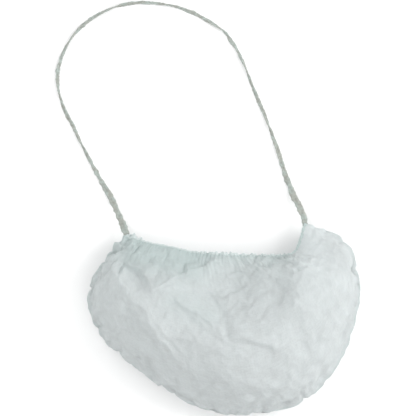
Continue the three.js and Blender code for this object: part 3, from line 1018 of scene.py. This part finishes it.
def crumpled(points, depth, wall, outline, slack, settings, scene):
    """Cloth a little too large for its place, let go for a few frames; returns its moves.
    slack from 0 to 1 says where it is largest, and walls keep near the outline."""
    size = len(points)
    trial = new_piece("ClothTrial", points.reshape(-1, 3), grid_faces(size, 0, False))
    held = trial.vertex_groups.new(name="held")
    hold = blend(HOLD_TOP, HOLD_WALL, wall)
    hold = np.where(points[..., 2] < HOLD_HEIGHT, 1.0, hold)
    on_edge = depth < 0.5 / CLOTH_CELLS
    hold = np.where(on_edge, 1.0, hold)
    tight = trial.vertex_groups.new(name="tight")
    for index, (weight, loose) in enumerate(zip(hold.ravel(), slack.ravel())):
        held.add([index], float(weight), "REPLACE")
        tight.add([index], float(1 - loose), "REPLACE")
    cloth = trial.modifiers.new("Cloth", "CLOTH")
    for name, value in CRUMPLE_CLOTH.items():
        setattr(cloth.settings, name, value)
    cloth.settings.vertex_group_mass = "held"
    cloth.settings.vertex_group_shrink = "tight"
    cloth.settings.shrink_min = -settings.ease
    cloth.settings.shrink_max = -settings.ease * EASE_LEAST
    cloth.settings.effector_weights.gravity = 0.0
    cloth.collision_settings.use_collision = False
    cloth.collision_settings.use_self_collision = False
    cloth.point_cache.frame_start, cloth.point_cache.frame_end = 1, CRUMPLE_FRAMES
    for step in range(1, CRUMPLE_FRAMES + 1):
        scene.frame_set(step)
    settled = trial.evaluated_get(bpy.context.evaluated_depsgraph_get()).to_mesh()
    places = mesh_points(settled)
    scene.frame_set(1)
    mesh = trial.data
    bpy.data.objects.remove(trial)
    bpy.data.meshes.remove(mesh)
    moves = places.reshape(points.shape) - points
    reach = np.linalg.norm(moves, axis=-1, keepdims=True)
    moves = moves * np.minimum(1, settings.crumple_limit / np.maximum(reach, TINY))
    normals = grid_normals(points)
    outward = (moves * normals).sum(axis=-1)
    inmost, outmost = (blend(OUTLINE_MOVE[side], WALL_MOVE[side], 1 - outline)
                       for side in (0, 1))
    kept = np.clip(outward, -inmost, outmost)
    return moves + normals * ((kept - outward) * wall)[..., None]


def wall_folds(points, turn, depth, flat):
    """Heights on the walls: puffs that fan out from the mouth, and ridges with creases."""
    reach = depth * PATH_LENGTH
    spots = round_mouth(turn, depth * FAN_DEPTH)
    phase = math.pi * turn * FAN_COUNT + FAN_DRIFT * noise_at(spots, *FAN_DRIFT_NOISE)
    puff = 2 * np.abs(np.sin(phase)) - FAN_MEAN
    strength = FAN_STRENGTH[0] + FAN_STRENGTH[1] * noise_at(spots, *FAN_STRENGTH_NOISE)
    fan = puff * np.clip(strength, 0, 1) * smooth_step(reach, *FAN_START)
    fan = fan * (1 - smooth_step(reach, *FAN_END))
    ridges = WALL_RIDGE_MEAN
    for share, kind in WALL_RIDGE_NOISE:
        ridges = ridges - np.abs(noise_at(points, *kind)) * share
    cut = flat * FLAT_RADIUS
    creases = crease_height(cut[..., 0], cut[..., 1], wall_crease_rows()) * MM
    return FAN_HEIGHT * fan, (WALL_RIDGE * ridges + creases) * smooth_step(reach, *WALL_START)


def cloth_slack(x, y):
    """Where the top of the cloth is slackest, from 0 to 1, at places in plan in millimetres."""
    slack = np.full_like(x, SLACK_MEAN)
    for middle_x, middle_y, width, more in SLACK_ROWS:
        away = np.hypot(x - middle_x, y - middle_y)
        slack += more * np.exp(-(away / width) ** 2)
    return np.clip(slack, 0, 1)


def pouch_surface(settings, scene):
    """Outside of the cloth on the fine grid, in metres, with the grid's turn, depth and flat."""
    turn, depth, flat = cloth_grid(CLOTH_CELLS)
    points = pouch_points(turn, depth, settings.fold_share) * MM
    top = on_top(turn)
    lift = smooth_step(section_lift(turn), *GATHER_END_FADE)
    rise = mouth_waves(points, turn, depth, settings) * lift
    ridges = -sum(np.abs(noise_at(points, *kind)) * height for height, kind in TOP_RIDGES)
    plan = points[..., 0] / MM, points[..., 1] / MM
    crease = crease_height(*plan, CREASE_ROWS + small_crease_rows()) * MM
    normals = grid_normals(points)
    off_table = np.where(top, 1, smooth_step(points[..., 2], *WALL_OFF_TABLE))
    flat_from = blend(*WALL_FLAT, smooth_step(plan[0], *WALL_FLAT_RANGE))
    wall = (1 - smooth_step(normals[..., 2], WALL_STEEP, flat_from)) * off_table
    outline = 1 - smooth_step(np.abs(normals[..., 2]), 0, OUTLINE_STEEP)
    left = 1 - smooth_step(plan[0], *FLANK_RANGE)
    flank = (1 - smooth_step(normals[..., 2], *FLANK_STEEP)) * left * off_table
    flank = np.maximum(wall, FLANK_FOLDS * flank)
    fan, rough = wall_folds(points, turn, depth, flat)
    rise = rise + (fan * flank + rough * wall) * blend(1, OUTLINE_FOLDS, outline)
    notch = crease_height(*plan, NOTCH_ROWS) * MM
    inner = 1 - np.exp(-depth * PATH_LENGTH / TOP_RIDGE_FADE)
    rise = rise + np.where(top, (ridges * inner + crease) * lift, 0) + notch
    for tie_turn, tuft_height in TUFT_ROWS:
        tie = pouch_points(np.array([tie_turn]), np.array([0.0]), settings.fold_share)[0] * MM
        near = np.exp(-(np.linalg.norm(points - tie, axis=-1) / TUFT_REACH) ** 2)
        rise = rise + tuft_height * near * noise_at(points, *TUFT_NOISE)
    points = points + normals * rise[..., None]
    slack = np.maximum(np.maximum(wall, FLANK_SLACK * flank), cloth_slack(*plan))
    points = points + crumpled(points, depth, wall, outline, slack, settings, scene)
    points[..., 2] = np.maximum(points[..., 2], TABLE_GAP)
    return points, turn, depth, flat


class BEARDCOVER_OT_pouch(bpy.types.Operator):
    """Make the gathered cloth pouch"""

    bl_idname = "beard_cover.pouch"
    bl_label = "Make pouch"

    def execute(self, context):
        settings = context.scene.beard_cover_pouch
        outside, turn, depth, flat = pouch_surface(settings, context.scene)
        inside = outside - grid_normals(outside) * settings.thickness
        size = len(outside)
        layer = size * size
        edge = grid_edge(size)
        after = np.roll(edge, -1)
        rim = np.stack((edge, edge + layer, after + layer, after), axis=-1)
        faces = np.concatenate((grid_faces(size, 0, False), grid_faces(size, layer, True), rim))
        vertices = np.concatenate((outside.reshape(-1, 3), inside.reshape(-1, 3)))
        piece = new_piece("Pouch", vertices, faces)
        cut = flat.reshape(-1, 2) * (settings.flat_width / 2, settings.flat_length / 2)
        set_uv(piece.data, np.concatenate((cut, cut)))
        reach = depth * PATH_LENGTH
        # Painted shade along the two sides of the pouch: a thin darker band at the outline.
        sides = 1 - smooth_step(section_lift(turn), 0, SIDE_SHADE_WIDTH)
        corner = smooth_step(along_section(turn), *TONE_CORNER_RANGE)
        # Tone of the gathers at the hem, and painted shade under the rim beyond it.
        gathered = sum(share * np.exp(-reach / fade) for share, fade in (TONE_HEM, UNDER_RIM_SHADE))
        gathered = gathered * blend(1, TONE_CORNER, corner) + SIDE_SHADE_SHARE * sides
        # Painted shade (above 0) and painted light (below 0) in patches of the top.
        painted_patch = line_heights(outside[..., 0] / MM, outside[..., 1] / MM, PAINTED_PATCH_ROWS)
        painted_patch = np.where(on_top(turn), painted_patch, 0)
        gathered = np.clip(gathered + np.maximum(painted_patch, 0), 0, 1).ravel()
        set_float(piece.data, "gathered", np.concatenate((gathered, gathered)))
        # The painted light goes into the attribute thin.
        thin = np.clip(-painted_patch, 0, 1).ravel()
        set_float(piece.data, "thin", np.concatenate((thin, thin)))
        piece.data.materials.append(cloth_material(
            "Nonwoven cloth", settings.colour, settings.gathers_and_shade_colour, settings.see_through))
        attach(piece, "root")
        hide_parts("pouch")
        return {"FINISHED"}


def ruffle_tree():
    """Geometry Nodes that lift a plain hem into ruffles along its length."""
    tree = bpy.data.node_groups.new("Hem ruffles", "GeometryNodeTree")
    face = tree.interface
    face.new_socket("Geometry", in_out="INPUT", socket_type="NodeSocketGeometry")
    for name in ("Ruffle count", "Ruffle depth", "Unevenness", "Seed"):
        face.new_socket(name, in_out="INPUT", socket_type="NodeSocketFloat")
    face.new_socket("Material", in_out="INPUT", socket_type="NodeSocketMaterial")
    face.new_socket("Geometry", in_out="OUTPUT", socket_type="NodeSocketGeometry")
    make = NodeMaker(tree)
    given = make.add("NodeGroupInput").outputs

    def attribute(name, kind):
        node = make.add("GeometryNodeInputNamedAttribute", {"data_type": kind}, {"Name": name})
        return node.outputs["Attribute"]

    along, edge = attribute("along", "FLOAT"), attribute("edge", "FLOAT")
    loose = attribute("loose", "FLOAT")
    outward = attribute("outward", "FLOAT_VECTOR")
    mouthward = attribute("mouthward", "FLOAT_VECTOR")
    phase = make.math("MULTIPLY", along, given["Ruffle count"])
    drift = make.add("ShaderNodeTexNoise", {"noise_dimensions": "1D"}, {
        "W": make.math("ADD", make.math("MULTIPLY", phase, RUFFLE_DRIFT), given["Seed"]),
        "Scale": 1.0, "Detail": 2.0}).outputs["Fac"]
    drift = make.math("SUBTRACT", drift, 0.5)
    phase = make.math("ADD", phase, make.math("MULTIPLY", drift, given["Unevenness"]))
    wave = make.math("SINE", make.math("MULTIPLY", phase, FULL_TURN))
    size = make.math("MULTIPLY", given["Ruffle depth"],
                     make.math("ADD", make.math("MULTIPLY", drift, RUFFLE_UNEVEN), 1.0))
    size = make.math("MULTIPLY", size, loose)
    rise = make.math("MULTIPLY", make.math("MULTIPLY", wave, size), edge)
    second = make.math("COSINE", make.math("MULTIPLY", phase, 2 * FULL_TURN))
    spread = make.math("MULTIPLY", make.math("MULTIPLY", second, size),
                       make.math("MULTIPLY", edge, RUFFLE_SPREAD))
    lifted = make.add("ShaderNodeVectorMath", {"operation": "SCALE"},
                      {0: outward, "Scale": rise}).outputs[0]
    spread = make.add("ShaderNodeVectorMath", {"operation": "SCALE"},
                      {0: mouthward, "Scale": spread}).outputs[0]
    offset = make.add("ShaderNodeVectorMath", {"operation": "ADD"}, {0: lifted, 1: spread})
    moved = make.add("GeometryNodeSetPosition", None, {
        "Geometry": given["Geometry"], "Offset": offset.outputs[0]})
    real = make.add("GeometryNodeRealizeInstances", None, {"Geometry": moved.outputs[0]})
    dressed = make.add("GeometryNodeSetMaterial", None, {
        "Geometry": real.outputs[0], "Material": given["Material"]})
    make.add("NodeGroupOutput", None, {"Geometry": dressed.outputs[0]})
    return tree


def cloth_ring(points, ring):
    """Turns and points of the cloth's outside round a ring of its grid."""
    edge = grid_edge(2 * CLOTH_CELLS + 1, ring)
    turn = cloth_grid(CLOTH_CELLS)[0].ravel()[edge]
    order = np.argsort(turn)
    return turn[order], points[edge[order]]


def mouth_line(points):
    """Turns and points of the cloth's edge, with the directions out of the mouth and off the
    cloth at each of them."""
    turn, rim = cloth_ring(points, 0)
    inner_turn, inner = cloth_ring(points, HEM_BASE_RING)
    behind = np.stack([np.interp(turn, inner_turn, inner[:, axis], period=1)
                       for axis in range(3)], axis=-1)
    mouthward = rim - behind
    mouthward /= np.linalg.norm(mouthward, axis=1, keepdims=True)
    forward = np.roll(rim, -HEM_AIM_STEPS, axis=0) - np.roll(rim, HEM_AIM_STEPS, axis=0)
    outward = np.cross(forward, mouthward)
    outward /= np.linalg.norm(outward, axis=1, keepdims=True)
    return turn, rim, mouthward, outward


def ruffled(plain, inputs):
    """Mesh of a plain hem with its ruffles, kept above the table. The plain hem is removed."""
    tree = ruffle_tree()
    ruffles = plain.modifiers.new("Ruffles", "NODES")
    ruffles.node_group = tree
    for socket in tree.interface.items_tree:
        if socket.in_out == "INPUT" and socket.name in inputs:
            ruffles[socket.identifier] = inputs[socket.name]
    drawn = plain.evaluated_get(bpy.context.evaluated_depsgraph_get())
    finished = bpy.data.meshes.new_from_object(drawn)
    bpy.data.objects.remove(plain)
    places = mesh_points(finished)
    places[:, 2] = np.maximum(places[:, 2], TABLE_GAP)
    finished.vertices.foreach_set("co", places.ravel())
    finished.update()
    return finished


class BEARDCOVER_OT_mouth_hem(bpy.types.Operator):
    """Make the ruffled hem round the mouth"""

    bl_idname = "beard_cover.mouth_hem"
    bl_label = "Make mouth hem"

    def execute(self, context):
        hem = context.scene.beard_cover_hem
        pouch = context.scene.beard_cover_pouch
        cloth = bpy.data.objects["Pouch"].data
        turn, rim, mouthward, outward = mouth_line(mesh_points(cloth))
        along = along_section(turn)
        right = smooth_step(along, *HEM_RIGHT_RANGE)
        from_tie = np.linalg.norm(rim - rim[0], axis=1)
        flare = smooth_step(from_tie, *FLARE_START) * (1 - smooth_step(from_tie, *FLARE_END))
        flare = flare * (1 + FLARE_UNEVEN * noise_at(rim, *FLARE_NOISE))
        flare = np.where(on_top(turn), flare, 0)
        width = hem.width * blend(HEM_LEFT_WIDTH, 1.0, right) + hem.flare * flare
        centre = rim + mouthward * (width / 2 - hem.overlap)[:, None]
        centre = centre - outward * pouch.thickness / 2
        angle = FULL_TURN * np.arange(HEM_SIDES) / HEM_SIDES
        across, rise = -np.cos(angle), np.sin(angle)
        lift = smooth_step(section_lift(turn), *HEM_FLANK)
        band = smooth_step(along, *HEM_BAND_RANGE)
        loose = lift * blend(*HEM_LOOSE, right) + FLARE_LOOSE * flare
        loose = blend(loose, HEM_BAND_LOOSE, band)
        thick = hem.thickness * blend(HEM_CORNER_THICKNESS, 1.0, lift)
        points = (centre[:, None, :]
                  + across[None, :, None] * mouthward[:, None, :] * width[:, None, None] / 2
                  + rise[None, :, None] * outward[:, None, :] * thick[:, None, None] / 2)
        faces = tube_faces(HEM_COLUMNS, HEM_SIDES).reshape(-1, 4)
        plain = new_piece("HemBase", points.reshape(-1, 3), faces)
        mesh = plain.data

        def spread(values):
            return np.repeat(values[:, None], HEM_SIDES, 1)

        set_float(mesh, "along", spread(turn))
        set_float(mesh, "edge", np.repeat(((across + 1) / 2)[None, :], HEM_COLUMNS, 0))
        set_float(mesh, "loose", spread(loose))
        # Gathered tone of the hem, with painted shade at the band beside the right end of the loop.
        set_float(mesh, "gathered", spread(blend(*HEM_GATHERS_AND_SHADE, band)))
        set_vector(mesh, "outward", spread(outward))
        set_vector(mesh, "mouthward", spread(mouthward))
        over = np.repeat(across[None, :] * hem.width / 2, HEM_COLUMNS, 0)
        flat = np.stack((spread(length_along(rim) * HEM_FULLNESS), over), axis=-1)
        set_uv(mesh, flat.reshape(-1, 2))
        material = cloth_material("Gathered hem", hem.colour, pouch.gathers_and_shade_colour,
                                  HEM_SEE_THROUGH)
        finished = ruffled(plain, {
            "Ruffle count": hem.ruffle_count, "Ruffle depth": hem.ruffle_depth,
            "Unevenness": HEM_UNEVENNESS, "Seed": HEM_SEED, "Material": material})
        finished.name = "MouthHem"
        piece = bpy.data.objects.new("MouthHem", finished)
        context.scene.collection.objects.link(piece)
        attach(piece, "root")
        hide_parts("front_hem", "side_hem", "back_hem")
        return {"FINISHED"}


class BEARDCOVER_PT_panel(bpy.types.Panel):
    """Sizes, colours and makers of the beard cover"""

    bl_idname = "BEARDCOVER_PT_panel"
    bl_label = "Beard cover"
    bl_space_type = "VIEW_3D"
    bl_region_type = "UI"
    bl_category = "Beard cover"

    def draw(self, context):
        for operator, settings in PIECES:
            box = self.layout.box()
            box.operator(operator)
            group = getattr(context.scene, settings)
            for name in group.__annotations__:
                box.prop(group, name)


PIECES = (
    ("beard_cover.stage", "beard_cover_stage"),
    ("beard_cover.head_loop", "beard_cover_loop"),
    ("beard_cover.pouch", "beard_cover_pouch"),
    ("beard_cover.mouth_hem", "beard_cover_hem"),
)
SETTINGS = {
    "beard_cover_stage": BeardCoverStage,
    "beard_cover_loop": BeardCoverLoop,
    "beard_cover_pouch": BeardCoverPouch,
    "beard_cover_hem": BeardCoverHem,
}
CLASSES = (*SETTINGS.values(), BEARDCOVER_OT_stage, BEARDCOVER_OT_head_loop, BEARDCOVER_OT_pouch,
           BEARDCOVER_OT_mouth_hem, BEARDCOVER_PT_panel)


def register():
    for item in CLASSES:
        bpy.utils.register_class(item)
    for name, group in SETTINGS.items():
        setattr(bpy.types.Scene, name, bpy.props.PointerProperty(type=group))


def unregister():
    for name in SETTINGS:
        delattr(bpy.types.Scene, name)
    for item in reversed(CLASSES):
        bpy.utils.unregister_class(item)


def main():
    register()
    bpy.ops.beard_cover.stage()
    bpy.ops.beard_cover.head_loop()
    bpy.ops.beard_cover.pouch()
    bpy.ops.beard_cover.mouth_hem()


if __name__ == "__main__":
    main()
